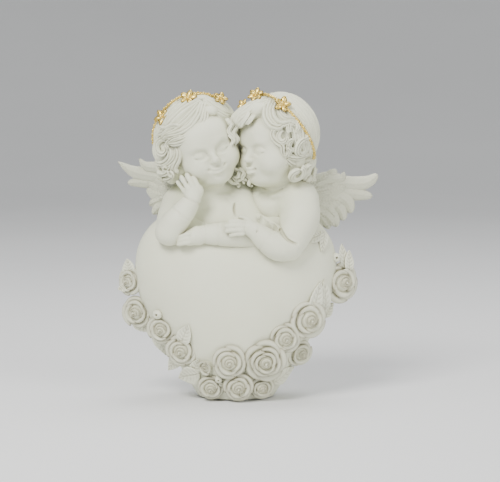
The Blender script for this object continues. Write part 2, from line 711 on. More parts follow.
def nape_curls(mop, spots, level, seed):
    """A row of curls along the nape, turned one way and the other."""
    parts = []
    for n, (x, y) in enumerate(spots):
        for row in range(2):
            at = mop.lay(np.array([[x, y, level + row * 6.4 + (n % 2) * 1.8]]), np.array([0.4]))[0]
            way = 1 if (n + row) % 2 else -1
            start = 70 * n + 120 * row
            radius = 3.5 - 0.3 * row
            parts.append(mop.coil(at, radius, start, 1.25, 2.8, 3, 0.5, 1.3, way, seed + 2 * n + row))
    return parts


def side_curls(mop, spots, side, seed):
    """Curls low on one side of a head, turned one way and the other."""
    parts = []
    for n, (at, radius) in enumerate(spots):
        way = -side if n % 2 else side
        lean = (0.6 * side, 0, 0.3)
        parts.append(mop.coil(at, radius, 120 * n, 1.2, 2.6, 3, 0.7, 1.4, way, seed + n, lean))
    return parts


LEFT_MOP = Mop((-23.0, 1.0, 150.3), (22.6, 21.6, 24.7))
RIGHT_MOP = Mop((25.0, -3.7, 152.8), (21.2, 21.8, 22.6))
LEFT_FACE = ((-17.3, -7.6, 144.3), axes_of((0.26, -0.95, -0.10), (-0.36, 0, 0.93)))
RIGHT_FACE = ((20.4, -8.6, 144.6), axes_of((-0.77, -0.62, -0.10), (-0.04, 0, 1)))


def left_hair():
    """Side-parted waves: a broad sweep over the forehead, a loose curl, and strands at the temple."""
    mop = LEFT_MOP
    clay = Clay((-50, -26, 121), (7, 27, 180), 0.66)
    clay.egg(mop.middle, mop.radii - 0.7, k=0)
    clay.egg((-17.0, -20, 141.5), (15.4, 17.5, 13.6), k=1.5, cut=True)
    clay.egg((-13.6, -19, 153.0), (8.6, 12.5, 10.0), k=1.5, cut=True)
    clay.egg((-19.0, -8, 124.0), (14.5, 16, 10.0), k=2.0, cut=True)
    lobe = [(-39, -6, 150), (-40.5, -6, 142), (-38.5, -5, 134), (-37, -1, 128)]
    clay.path(lobe, [5.5, 5.0, 4.5, 4.0], k=3, count=10)
    clay.egg((-14.6, -15.4, 166.6), (4.6, 4.0, 3.2), k=1.5)
    clay.egg((-20.5, -1.0, 173.4), (7.0, 8.0, 3.0), k=1.5)
    clay.egg((-23.0, 8.0, 173.5), (3.4, 3.4, 1.5), k=1.0)
    parts = [clay.skin()]
    parts += cap_strands(mop, (-23, 8, 174.4), -38, 218, 30, 6.8, seed=3)
    falls = [  # places, width, strands, lift, wave, tip
        # the top and the sweep over the forehead, from the back of the parting to the fringe
        ([(-22.0, 4.0, 175.0), (-31.0, 170.6), (-38.5, 164.0), (-43.0, 156.0),
          (-44.6, 149.0)], 6.6, 3, 0.2, 0.5, 0.4),
        ([(-21.5, 173.4), (-29.5, 168.6), (-36.0, 162.0), (-40.5, 155.0),
          (-43.0, 150.4)], 6.4, 3, 0.9, 0.5, 0.4),
        ([(-20.8, 171.6), (-27.9, 166.4), (-34.1, 160.3), (-38.6, 155.2),
          (-42.2, 152.6)], 5.6, 2, 1.9, 0.4, 0.4),
        ([(-19.8, 170.4), (-23.9, 164.8), (-28.6, 159.4), (-33.9, 155.2), (-38.4, 153.2),
          (-41.0, 150.4)], 6.2, 3, 1.5, 0.3, 0.4),
        ([(-19.0, 169.8), (-20.8, 163.2), (-24.4, 158.0), (-29.4, 154.6), (-34.4, 152.6),
          (-38.4, 151.6)], 5.8, 3, 2.6, 0.2, 0.4),
        ([(-18.0, 168.6), (-18.2, 161.8), (-20.6, 156.4), (-24.8, 152.6), (-29.6, 150.4), (-33.8, 149.0),
          (-37.4, 149.2)], 5.6, 3, 2.4, 0.0, 0.5),
        # wisps that leave the sweep and turn up or down at its end
        ([(-30.6, 157.8), (-34.6, 157.6), (-38.2, 156.2), (-40.6, 157.6)], 2.6, 1, 2.9, 0.0, 0.3),
        ([(-29.8, 152.4), (-34.2, 151.0), (-37.0, 148.6), (-36.6, 145.6)], 2.8, 2, 2.9, 0.0, 0.3),
        # right of the parting
        ([(-20.0, 4.0, 174.6), (-11.0, 171.6), (-4.8, 166.6), (-1.6, 160.4), (0.2, 154.0),
          (1.0, 147.0)], 6.0, 3, 0.4, 0.6, 0.3),
        ([(-18.8, 173.0), (-12.4, 169.6), (-6.8, 165.8), (-3.0, 160.8), (-1.0, 155.0),
          (-0.2, 149.0)], 5.4, 3, 0.9, 0.5, 0.3),
        ([(-18.6, 171.2), (-13.8, 167.4), (-9.2, 164.4), (-5.4, 162.4), (-3.0, 158.0), (-1.4, 152.0),
          (0.6, 146.4)], 4.6, 2, 2.0, 0.3, 0.3),
        ([(-18.0, 169.8), (-14.4, 165.8), (-10.2, 163.2), (-6.6, 161.0), (-5.0, 156.6), (-3.6, 151.0),
          (-1.4, 146.0), (-1.0, 141.5)], 3.2, 2, 2.2, 0.2, 0.3),
        ([(-3.4, 161.6), (0.2, 157.0), (1.6, 151.6), (1.0, 146.4), (2.2, 142.0),
          (0.4, 137.6)], 3.0, 2, 1.7, 0.4, 0.3),
        ([(-4.8, 158.6), (-2.0, 153.4), (-0.4, 148.4), (0.8, 143.8), (-0.4, 139.4)], 2.6, 2, 2.3, 0.3, 0.3),
    ]
    for n, (places, width, strands, lift, wave, tip) in enumerate(falls):
        parts.append(mop.lock(places, width, strands, lift, 1.9, wave, tip, seed=n))
    # thin waves between the temple and the other cherub, and loose curls behind the chin
    temple = [
        [(-5.6, -17.4, 162.4), (-2.4, -18.4, 159.0), (-4.2, -18.2, 155.4), (-1.6, -18.0, 152.0),
         (-2.4, -17.0, 148.8)],
        [(-2.2, -17.0, 161.4), (0.4, -17.4, 158.0), (-1.4, -17.2, 154.2), (0.8, -16.6, 150.8),
         (-0.6, -15.4, 147.0)],
        [(-4.2, -18.4, 153.6), (-1.4, -18.0, 150.4), (-2.8, -16.8, 147.2), (-0.6, -15.2, 144.2)],
        [(-3.0, -9.0, 134.0), (0.8, -9.6, 132.6), (1.4, -9.4, 129.4), (-1.6, -9.0, 128.4)],
        [(1.6, -10.0, 134.0), (4.6, -9.8, 131.6), (3.6, -9.2, 128.4), (6.6, -8.6, 126.6)],
        [(-2.4, -7.4, 129.4), (0.6, -7.6, 126.8), (3.4, -7.8, 127.6), (4.6, -7.4, 124.4)],
        [(5.2, -8.6, 130.0), (8.2, -8.4, 128.0), (7.2, -7.6, 124.8), (9.8, -6.8, 123.4)],
        [(-5.0, -6.6, 128.0), (-2.0, -6.8, 125.4), (0.8, -6.6, 125.0), (1.2, -6.0, 122.4)],
    ]
    for n, places in enumerate(temple):
        parts.append(mop.lock(places, 2.6, 2, 0.2, 1.3, 0.0, 0.3, seed=170 + n, steps=24))
    # the side: locks that leave the sweep, curl at the edge and hang behind the raised hand
    side = [  # places, width, strands
        ([(-35.6, -15.2, 149.6), (-33.6, -17.4, 145.2), (-34.8, -16.6, 140.2), (-38.4, -13.4, 136.4),
          (-43.0, -9.6, 134.8)], 4.8, 3),
        ([(-37.8, -13.4, 148.8), (-36.4, -15.4, 144.6), (-37.0, -15.2, 140.4), (-40.6, -11.6, 137.4),
          (-45.2, -7.6, 137.4)], 4.2, 2),
        ([(-33.8, -17.4, 148.6), (-32.2, -18.6, 144.0), (-32.6, -18.0, 139.2), (-34.2, -16.2, 134.8),
          (-32.4, -15.2, 131.2)], 3.8, 2),
        ([(-36.4, -14.4, 138.6), (-36.0, -14.0, 134.8), (-38.6, -11.2, 131.8), (-42.2, -7.4, 131.6),
          (-44.0, -5.0, 133.4)], 3.8, 2),
        ([(-34.6, -14.8, 135.6), (-35.2, -12.8, 131.4), (-38.2, -9.2, 128.2), (-41.6, -5.4, 127.8)], 3.4, 2),
        ([(-41.0, -7.0, 139.0), (-43.4, -4.4, 135.0), (-42.0, -3.0, 130.6), (-44.2, 0.0, 127.4)], 4.2, 3),
        ([(-45.0, -1.4, 150.0), (-46.0, 0.8, 142.6), (-43.2, 2.6, 136.0), (-44.2, 4.4, 129.6)], 4.2, 2),
        ([(-44.6, 3.4, 150.0), (-45.2, 5.4, 143.0), (-42.2, 6.8, 136.0), (-42.8, 8.6, 129.4)], 4.2, 3),
        ([(-43.2, 8.6, 150.0), (-43.4, 10.0, 143.0), (-40.4, 11.0, 136.0), (-40.6, 13.0, 129.6)], 4.2, 2),
    ]
    for n, (places, width, strands) in enumerate(side):
        parts.append(mop.lock(places, width, strands, 0.4 + 0.5 * (n % 2), 1.8, 0.2, seed=30 + n))
    parts.append(mop.coil((-41.0, -11.2, 145.6), 4.9, 60, 1.15, 3.4, 2, 1.0, 1.8, 1, 50, (0.3, -0.6, 0)))
    parts.append(mop.coil((-36.4, -15.6, 131.6), 2.2, 140, 1.1, 1.8, 2, 0.6, 1.2, 1, 52))
    parts.append(mop.coil((-39.8, -13.0, 134.4), 2.0, 330, 1.1, 1.7, 2, 0.6, 1.2, -1, 53))
    curls = [((-42.6, -2.0, 129.6), 3.2), ((-41.8, 4.4, 130.4), 3.1), ((-40.2, 9.6, 131.0), 2.8)]
    parts += side_curls(mop, curls, -1, 54)
    nape = [(-42, 4), (-39, 11), (-33, 16.5), (-26, 19.4), (-18, 19.6), (-10, 16.6), (-3.4, 11)]
    parts += nape_curls(mop, nape, 129.6, 60)
    return piece("left_hair_look", parts, HAIR_RESIN, ["left_hair"])


def right_hair():
    """A smooth combed cap behind the band, a forelock rolled over the brow, and curls round the ear."""
    mop = RIGHT_MOP
    clay = Clay((-3, -33, 120), (54, 25, 181), 0.66)
    clay.egg(mop.middle, mop.radii - 0.6, k=0)
    clay.egg((10.0, -20, 143.0), (16.0, 18.5, 14.5), k=1.5, cut=True)
    clay.egg((7.5, -20, 154.0), (11.5, 12.5, 9.5), k=1.5, cut=True)
    clay.egg((12.0, -10, 127.0), (16.5, 17, 9.0), k=2.0, cut=True)
    clay.path([(33.5, -15.5, 147), (34.0, -15.5, 139), (34.5, -13.5, 132.5)], [5.5, 5.5, 5.6], k=3, count=8)
    clay.path([(38.4, -4, 144), (38.8, -1.5, 136), (39.4, 0.5, 129)], [5.5, 5.0, 4.2], k=4, count=8)
    forelock = [(22.0, -16.5, 168.6), (12.5, -17.0, 167.2), (5.6, -14.8, 163.4), (2.2, -14.0, 160.8)]
    clay.path(forelock, [3.0, 4.4, 5.0, 4.2], k=2, count=10)
    parts = [clay.skin()]
    parts += cap_strands(mop, (18, -8, 175.8), -62, 215, 34, 6.8, seed=13, wave=0.25)
    falls = [  # places, width, strands, lift, wave, tip
        # the forelock, rolled over the brow towards the other cherub
        ([(23.0, -9.6, 173.8), (15.4, -12.2, 171.6), (8.6, -13.4, 169.4), (3.2, -13.2, 165.8),
          (-0.2, -13.6, 162.0), (0.4, -14.4, 158.6)], 6.0, 3, 0.8, 0.0, 0.8),
        ([(22.8, 173.0), (15.4, 171.4), (9.0, -17.4, 167.8), (4.2, -18.6, 164.4), (1.6, -18.4, 161.0),
          (2.2, -17.4, 158.2)], 6.2, 3, 1.5, 0.0, 0.8),
        ([(21.6, 171.8), (15.8, 169.2), (10.6, 166.2), (6.6, -20.8, 163.0), (4.0, -20.0, 160.0),
          (3.6, -18.4, 157.4)], 6.0, 3, 1.8, 0.0, 0.8),
        ([(20.4, 171.0), (16.4, 167.6), (12.2, 164.6), (8.8, -21.6, 161.8),
          (6.2, -20.4, 159.0)], 5.0, 2, 1.4, 0.0, 0.6),
        # the temple locks: each an S that turns back over the ear
        ([(21.0, 172.4), (18.2, 167.4), (17.6, 162.6), (20.0, 158.6), (24.0, 157.4),
          (27.0, 159.4)], 4.6, 2, 2.0, 0.0, 0.4),
        ([(23.4, 171.8), (20.8, 166.6), (21.8, 161.8), (25.6, 159.4), (30.0, 160.0),
          (33.6, 158.0)], 4.6, 2, 1.5, 0.0, 0.4),
        ([(25.4, 169.8), (25.0, 165.8), (27.6, 162.6), (32.0, 161.8), (36.0, 159.8),
          (37.6, 155.4)], 4.6, 3, 1.0, 0.1, 0.4),
        ([(28.6, 168.4), (31.2, 164.8), (35.4, 161.4), (38.8, 157.0), (40.4, 151.4),
          (40.2, 145.4)], 4.6, 3, 0.6, 0.2, 0.4),
        ([(31.8, 167.2), (36.2, 162.4), (40.2, 156.6), (42.4, 150.4), (42.6, 144.0),
          (41.0, 138.0)], 4.6, 3, 0.3, 0.4, 0.5),
        # locks in front of the ear and below it
        ([(22.8, 157.6), (21.0, 153.8), (22.8, 150.2), (26.0, 147.8), (26.8, 144.0),
          (28.8, 140.6)], 3.8, 2, 1.3, 0.0, 0.4),
        ([(27.4, 144.4), (31.6, 141.8), (36.4, 141.6), (40.8, 143.8)], 3.8, 2, 1.4, 0.0, 0.5),
        ([(28.2, 140.8), (32.4, 138.2), (36.8, 138.0), (41.2, 140.2)], 3.8, 2, 1.6, 0.0, 0.5),
        ([(29.4, 139.8), (27.0, 137.0), (27.0, 133.4), (29.4, 130.4), (33.6, 128.6)], 3.6, 2, 1.5, 0.0, 0.4),
    ]
    for n, (places, width, strands, lift, wave, tip) in enumerate(falls):
        parts.append(mop.lock(places, width, strands, lift, 1.8, wave, tip, seed=70 + n))
    coils = [
        # across, up, radius, start, turns, way, lean
        (27.2, 152.2, 4.0, 100, 0.80, 1, (-0.3, 0, 0.1)),
        (32.6, 156.6, 4.0, 215, 0.85, -1, (0.1, 0, 0.4)),
        (31.8, 149.2, 3.8, 330, 0.75, -1, (-0.1, 0, -0.3)),
        (37.4, 152.6, 3.6, 130, 0.75, -1, (0.3, 0, 0.3)),
        (36.6, 146.4, 4.7, 70, 1.05, 1, (0.1, 0, -0.1)),
        (28.4, 145.6, 3.2, 200, 0.75, 1, (-0.3, 0, -0.3)),
    ]
    for n, (x, z, radius, start, turns, way, lean) in enumerate(coils):
        lift = 1.0 + 0.25 * (n % 3)
        width = radius * 0.95
        parts.append(mop.coil((x, z), radius, start, turns, width, 3, lift, 1.6, way, 90 + n, lean, 0.6))
    parts.append(mop.coil((34.2, -20.2, 131.6), 5.0, 80, 1.15, 4.4, 3, 0.3, 1.8, -1, 99))
    parts.append(mop.coil((39.4, -15.6, 134.6), 3.4, 250, 0.95, 3.0, 2, 0.6, 1.6, 1, 100, (0.4, 0, 0)))
    hanging = [  # places, width, strands
        ([(40.6, -9, 143.0), (42.4, -7, 137.0), (41.0, -6.4, 131.0), (43.6, -4.0, 125.6)], 5.0, 3),
        ([(42.6, -3, 143.0), (44.2, -1, 136.6), (42.8, 0, 130.6), (45.4, 2.0, 126.0)], 5.2, 3),
        ([(40.2, -12.5, 139.0), (41.6, -11, 133.6), (39.2, -9, 129.0), (41.0, -6, 125.0)], 4.4, 2),
        ([(43.2, -6.4, 146.0), (44.0, -5.0, 139.8), (42.6, -3.4, 134.0), (44.0, -1.6, 128.6)], 4.4, 3),
        ([(43.6, 1.6, 145.0), (44.6, 3.0, 138.4), (42.8, 3.8, 132.4), (43.8, 5.6, 127.4)], 4.8, 3),
        ([(43.2, 6.4, 143.0), (43.0, 7.4, 137.0), (41.0, 7.0, 131.4), (41.8, 9.0, 126.8)], 4.6, 3),
    ]
    for n, (places, width, strands) in enumerate(hanging):
        parts.append(mop.lock(places, width, strands, 0.5, 1.8, 0.3, seed=110 + n))
    curls = [((43.4, -2.4, 130.4), 3.2), ((42.6, 4.4, 130.0), 3.1), ((40.6, -8.0, 127.4), 2.7)]
    parts += side_curls(mop, curls, 1, 120)
    nape = [(46, 2), (43, 9), (37, 14.4), (30, 17.4), (22, 17.6), (14.4, 14.6), (8, 9)]
    parts += nape_curls(mop, nape, 131.8, 130)
    return piece("right_hair_look", parts, HAIR_RESIN, ["right_hair"])


# ---------------------------------------------------------------- bodies and arms


def ring_crease(clay, middle, axis, radius, thick, k=0.8):
    """A fold line pressed in round a limb."""
    axis = unit(axis)
    side = unit(np.cross(axis, [0.3, 0.2, 0.9]))
    other = np.cross(axis, side)
    t = np.linspace(0, 2 * np.pi, 25)
    line = np.asarray(middle, float) + radius * (np.cos(t)[:, None] * side + np.sin(t)[:, None] * other)
    clay.path(line, thick, k=k, cut=True)


FINGER_STEPS = 10


def finger(clay, points, thick, k=0.5):
    """A finger with a slight swelling at each joint and a rounded tip."""
    t = np.linspace(0, 1, FINGER_STEPS)
    line = smooth_path(points, FINGER_STEPS)
    clay.path(line, thick * (1.0 - 0.16 * t + 0.07 * np.sin(t * 3 * np.pi)), k=k)


# Each upper arm: joints from the shoulder to the elbow, with a radius at each.
LEFT_RAISED = [(-33.6, 2, 113, 9.0), (-36.6, -12, 105, 8.6), (-37.4, -21.5, 98.8, 7.8)]
LEFT_FOLDED = [(2.5, 0, 113, 8.8), (8.0, -10, 103, 8.2), (10.2, -18.5, 95.0, 7.3)]
RIGHT_NEAR = [
    (36.0, -7.5, 115, 11.4),
    (36.5, -15, 106, 11.6),
    (33.4, -21.6, 97.0, 9.7),
    (29.8, -24.8, 90.4, 8.6),
]
# The fold inside the right cherub's elbow, across and up.
RIGHT_CROOK = [(24.6, 105.6), (25.0, 101.4), (26.6, 97.6), (30.0, 94.2), (34.6, 92.2)]


def upper_arm(clay, joints, shrink=0.0, k=4.0):
    """The upper arm from shoulder to elbow."""
    joints = np.asarray(joints, float)
    clay.path(joints[:, :3], joints[:, 3] - shrink, k=k, count=10)


def model_back(clay, x, y):
    """Two shoulder blades and the hollow of the spine on a back whose fullest point is at x, y."""
    for side in (-1, 1):
        clay.egg((x + side * 8.2, y - 4.4, 111.0), (4.8, 3.8, 6.8), k=5)
    clay.crease([(x, 93), (x, 101), (x, 109), (x, 117), (x, 121)], 0.9, 0.5, k=2.2, side=1)


def left_torso():
    """The left cherub's chest and shoulders."""
    clay = Clay((-50, -32, 78), (20, 24, 134), 0.6)
    clay.egg((-15, 5.5, 104), (19.5, 14.5, 24), k=0)
    clay.egg((-24, -3.5, 108), (9.5, 7.0, 8.5), k=6)
    clay.egg((-6.5, -3.8, 108.5), (9.5, 7.0, 8.5), k=6)
    clay.egg((-31.6, 4.0, 112.6), (9.4, 9.2, 8.4), k=6)
    clay.egg((2.0, 3.0, 113.6), (9.6, 9.2, 8.6), k=6)
    clay.path([(-31, 3, 118), (-16, 2.5, 121.5), (0, 2.5, 118.5)], [5.2, 6.5, 5.2], k=5, count=8)
    clay.path([(-14.6, 2.5, 117), (-15.2, 0, 128)], [10.2, 9.4], k=5)
    upper_arm(clay, LEFT_RAISED)
    upper_arm(clay, LEFT_FOLDED)
    clay.path([(-13.0, -7.6, 117.6), (-21, -6.6, 118.2), (-29, -4, 117.8)], [0.5, 0.9, 0.6], k=2.4, count=8)
    clay.path([(-9.5, -7.6, 117.6), (-3, -6.6, 118.0), (3, -4, 117.0)], [0.5, 0.9, 0.6], k=2.4, count=8)
    clay.egg((-12, -8.5, 101), (15.0, 8.0, 9.0), k=7)
    clay.crease([(-0.6, 114.0), (-1.1, 110.6), (-0.5, 106.4)], 0.5, 1.9)
    clay.crease([(-27.4, 113.0), (-28.0, 109.0), (-27.0, 105.0)], 0.7, 1.4)
    ring_crease(clay, (-14.9, 1.2, 123.8), (0.03, 0.2, 1), 10.2, 0.35)
    model_back(clay, -15.0, 19.6)
    return piece("left_torso_look", [clay.skin()], FIGURE_RESIN, ["left_torso"])


def left_raised_arm():
    """Elbow on the heart, forearm up, and the hand against the jaw with its fingers along the cheek."""
    clay = Clay((-49, -34, 85), (-12, 12, 136), 0.42)
    upper_arm(clay, LEFT_RAISED, shrink=0.5, k=0)
    clay.path(
        [(-37.4, -21.5, 98.8), (-34.0, -23.4, 104.4), (-28.6, -23.6, 111.0), (-24.8, -23.0, 116.6)],
        [7.9, 7.6, 6.4, 4.9],
        k=2.5,
        count=14,
    )
    clay.egg((-38.2, -22.0, 96.8), (6.6, 6.0, 5.0), k=3)
    clay.egg((-24.0, -22.2, 120.6), (4.9, 3.7, 4.8), k=2.0)
    clay.egg((-20.4, -20.8, 121.6), (2.2, 2.6, 3.2), k=2.0)
    ring_crease(clay, (-25.0, -23.0, 116.4), (0.45, 0.05, 0.9), 4.9, 0.4, k=0.9)
    ring_crease(clay, (-30.6, -23.5, 108.4), (0.6, 0.0, 0.8), 7.2, 0.3, k=0.9)
    finger(clay, [(-21.2, -22.2, 122.4), (-22.4, -22.0, 126.0), (-24.2, -20.6, 129.0)], 1.75)
    finger(clay, [(-23.6, -23.4, 122.4), (-25.6, -22.8, 126.8), (-27.6, -20.8, 130.6)], 1.7)
    finger(clay, [(-26.0, -23.2, 121.6), (-28.6, -22.2, 125.6), (-30.8, -20.2, 129.2)], 1.6)
    finger(clay, [(-27.8, -22.0, 120.0), (-30.6, -20.8, 123.4), (-33.0, -18.6, 126.4)], 1.4)
    return piece("left_raised_arm_look", [clay.skin()], FIGURE_RESIN, ["left_raised_arm"])


def left_folded_arm():
    """The forearm that lies along the top of the heart, its hand tucked under the other elbow."""
    clay = Clay((-36, -36, 84), (20, 8, 124), 0.42)
    upper_arm(clay, LEFT_FOLDED, shrink=0.5, k=0)
    clay.path(
        [(10.2, -18.5, 95.0), (3.0, -21.2, 96.0), (-7.0, -23.0, 97.0), (-16.6, -24.0, 97.0)],
        [7.3, 7.0, 6.9, 5.6],
        k=2.5,
        count=14,
    )
    clay.egg((-21.5, -24.6, 96.4), (5.4, 4.9, 5.6), k=1.0)
    clay.egg((-26.4, -25.2, 95.0), (4.2, 4.3, 4.4), k=2.0)
    ring_crease(clay, (-17.9, -24.1, 97.0), (1, 0.12, 0.02), 5.5, 0.42, k=0.7)
    ring_crease(clay, (-10.6, -23.4, 97.2), (1, 0.2, -0.02), 6.7, 0.28, k=0.9)
    for n in range(3):
        root, middle = (-26.5, -28.6, 97.6 - 2.3 * n), (-30.0, -28.4, 96.6 - 2.2 * n)
        finger(clay, [root, middle, (-32.4, -26.6, 95.6 - 2.0 * n)], 1.35)
    return piece("left_folded_arm_look", [clay.skin()], FIGURE_RESIN, ["left_folded_arm"])


def right_torso():
    """The right cherub's chest and shoulders, with the ruffled hem of a cloth under the arm."""
    clay = Clay((2, -32, 78), (52, 24, 134), 0.55)
    clay.egg((27, 3.6, 104), (17.5, 14.5, 24), k=0)
    clay.egg((19.5, -4.8, 109.5), (9.0, 7.4, 9.0), k=6)
    clay.egg((15.5, 2.5, 113.0), (8.6, 8.8, 8.4), k=6)
    clay.egg((36, -3.5, 114.0), (11.0, 10.6, 9.8), k=6)
    clay.path([(15, 2, 118), (26, 1, 121.5), (37, -3, 119.5)], [5.0, 6.8, 6.0], k=5, count=8)
    clay.path([(26.4, 0.5, 117), (24.6, -2.2, 128)], [10.4, 9.6], k=5)
    upper_arm(clay, RIGHT_NEAR)
    collarbone = [(20.5, -11.6, 117.6), (27.5, -12.4, 119.0), (32.5, -13.5, 119.6)]
    clay.path(collarbone, [0.5, 0.9, 0.6], k=2.6, count=8)
    ring_crease(clay, (25.4, -1.2, 123.4), (-0.1, -0.15, 1), 10.5, 0.35)
    model_back(clay, 26.6, 17.7)
    clay.crease(RIGHT_CROOK, 0.9, 2.4)
    clay.path([(12.4, -14.4, 105.6), (18, -16.0, 102.6), (25, -19.0, 99.0)], [2.8, 3.2, 2.6], k=1.0, count=8)
    return piece("right_torso_look", [clay.skin(), hem()], FIGURE_RESIN, ["right_torso"])


def hem():
    """The pleated hem of a cloth that shows under the right cherub's arm."""
    t, v = sheet_grid(90, 13)
    pleat = (t + 0.12 * np.sin(t * 7)) * 2.4 * 2 * np.pi + 0.8 * v
    line = np.stack([12.8 + 12.4 * t, -19.6 - 4.0 * t, 105.4 - 8.2 * t], -1)
    rise = np.array([0.5, 0.0, 0.87])
    out = np.array([-0.1, -0.95, 0.25])
    fan = 0.3 + 0.7 * (v + 1) / 2
    middle = line + (v * (2.3 - 0.5 * np.cos(pleat)))[..., None] * rise
    middle = middle + (1.5 * np.sin(pleat) * fan)[..., None] * out
    middle = middle + (0.9 * np.cos(pleat) * fan)[..., None] * np.array([0.8, 0, -0.6])
    rim = np.sqrt(np.clip((1 - v**8) * (1 - (2 * t - 1) ** 12), 0.02, 1))
    half = (0.65 * rim)[..., None] * out
    return sheet_solid(middle + half, middle - half)


def right_near_arm():
    """The plump arm that leans on the heart, its hand laid on the other cherub's forearm."""
    clay = Clay((-12, -42, 76), (52, 8, 128), 0.45)
    upper_arm(clay, RIGHT_NEAR, shrink=0.6, k=0)
    clay.path(
        [(29.8, -24.8, 90.4), (24.0, -27.8, 90.2), (18.0, -28.6, 93.8), (12.0, -28.0, 98.6)],
        [8.6, 7.9, 7.0, 5.3],
        k=1.2,
        count=14,
    )
    clay.crease(RIGHT_CROOK, 0.8, 2.2)
    clay.egg((7.4, -28.2, 101.2), (5.4, 3.6, 4.5), k=1.8)
    ring_crease(clay, (12.0, -27.7, 100.0), (0.93, 0.05, -0.4), 5.0, 0.4, k=0.8)
    ring_crease(clay, (17.4, -28.8, 94.2), (0.8, 0.0, -0.6), 7.0, 0.28, k=0.9)
    finger(clay, [(4.6, -29.6, 104.2), (0.4, -30.4, 105.0), (-3.2, -29.8, 104.8)], 1.55)
    finger(clay, [(3.8, -30.8, 102.3), (-1.2, -31.6, 102.8), (-5.2, -30.9, 102.3)], 1.55)
    finger(clay, [(3.8, -31.2, 100.2), (-1.2, -32.0, 100.2), (-5.0, -31.2, 99.6)], 1.5)
    finger(clay, [(4.2, -30.9, 98.2), (0.2, -31.4, 97.8), (-3.0, -30.7, 97.2)], 1.35)
    finger(clay, [(8.4, -28.0, 105.0), (5.2, -28.2, 106.8), (2.2, -27.4, 107.2)], 1.4)
    return piece("right_near_arm_look", [clay.skin()], FIGURE_RESIN, ["right_near_arm"])


def right_far_arm():
    """The arm behind, laid across the other cherub's back."""
    clay = Clay((-34, -4, 92), (24, 30, 124), 0.45)
    clay.path(
        [(13, 6, 112), (7, 13, 106), (2, 16.8, 103), (-6, 19.2, 104.6), (-13.6, 20.2, 106.8)],
        [7.6, 7.2, 6.4, 5.8, 4.8],
        k=0,
        count=16,
    )
    clay.egg((-18.6, 19.9, 107.8), (4.8, 3.2, 4.6), k=1.6)
    ring_crease(clay, (-14.4, 20.2, 107.0), (1, -0.1, -0.2), 4.8, 0.4, k=0.8)
    for n, reach in enumerate((27.4, 29.6, 29.4, 27.8)):
        z = 111.4 - 2.6 * n
        root, middle = (-20.6, 21.6, z - 0.2), (-24.8, 20.9, z + 0.7 - 0.3 * n)
        finger(clay, [root, middle, (-reach, 18.5, z + 1.2 - 0.5 * n)], 1.3)
    finger(clay, [(-16.8, 21.6, 111.2), (-18.6, 21.2, 114.4), (-20.6, 19.8, 116.6)], 1.4)
    return piece("right_far_arm_look", [clay.skin()], FIGURE_RESIN, ["right_far_arm"])


# ---------------------------------------------------------------- wings


PLUME_STEPS, PLUME_COLUMNS = 34, 15


def plume(line, width, facing=(0, -1, 0), bow=1.2, thick=1.6, barbs=13, point=0.5):
    """One feather along a curved line: a bowed blade with a raised shaft and slanted barbs on both faces."""
    facing = np.asarray(facing, float)
    line = smooth_path(line, PLUME_STEPS)
    way = unit_rows(np.gradient(line, axis=0))
    out = unit_rows(facing - way * (way @ facing)[:, None])
    side = np.cross(way, out)
    u, v = sheet_grid(PLUME_STEPS, PLUME_COLUMNS)
    shape = np.clip(u / 0.25, 0.05, 1) ** 0.5 * np.clip((1 - u) / 0.42, 0, 1) ** point
    shape = np.maximum(shape, 0.04)
    shaft = np.exp(-((v / 0.14) ** 2)) * 0.5 * (1 - 0.6 * u)
    phase = (u * barbs - np.abs(v) * 1.4) % 1
    barb = -0.34 * np.exp(-(((phase - 0.5) / 0.2) ** 2)) * (np.abs(v) > 0.1) * (1 - np.abs(v) ** 6)
    crown = (1 - v**2) * bow * np.minimum(1, shape * 1.4)
    rim = np.sqrt(np.clip(1 - np.abs(v) ** 4, 0, 1)) * np.sqrt(np.clip(1 - u**20, 0.02, 1))
    middle = line[:, None, :] + side[:, None, :] * (v * shape * width / 2)[..., None]
    upper = middle + out[:, None, :] * (crown + (shaft + barb + thick * 0.55) * rim)[..., None]
    lower = middle + out[:, None, :] * (crown * 0.6 - (shaft + barb + thick * 0.75) * rim)[..., None]
    return sheet_solid(upper, lower)


def wing(name, root, plan, rows, sweep, nodes, seed):
    """Long feathers from a plan, then fans of small coverts over their roots, in front and behind."""
    rng = np.random.default_rng(seed)
    parts = []

    def place(x, z, depth):
        return (x, root[1] + abs(x - root[0]) * sweep - depth, z)

    for points, width, depth, point in plan:
        depths = np.linspace(depth, depth * 0.5, len(points))
        parts.append(plume([place(x, z, d) for (x, z), d in zip(points, depths)], width, point=point))
    for face in (1, -1):
        for reach, start, stop, count, length, width, depth in rows:
            for n in range(count):
                angle = math.radians(start + (stop - start) * (n + 0.5 + rng.uniform(-0.15, 0.15)) / count)
                far = reach * rng.uniform(0.93, 1.07)
                bend = math.radians(rng.uniform(-9, 9))
                points = []
                for share in (0.0, 0.5, 1.0):
                    r = far - length * (1 - share)
                    a = angle + bend * share**2
                    lift = depth * (1 - 0.35 * share) * face - (0 if face > 0 else 0.4)
                    points.append(place(root[0] + r * math.cos(a), root[2] + r * math.sin(a), lift))
                wide = width * rng.uniform(0.9, 1.15)
                parts.append(plume(points, wide, (0, -face, 0), 1.0, 1.3, 7, rng.uniform(0.45, 0.7)))
    return piece(name, parts, WING_RESIN, nodes)


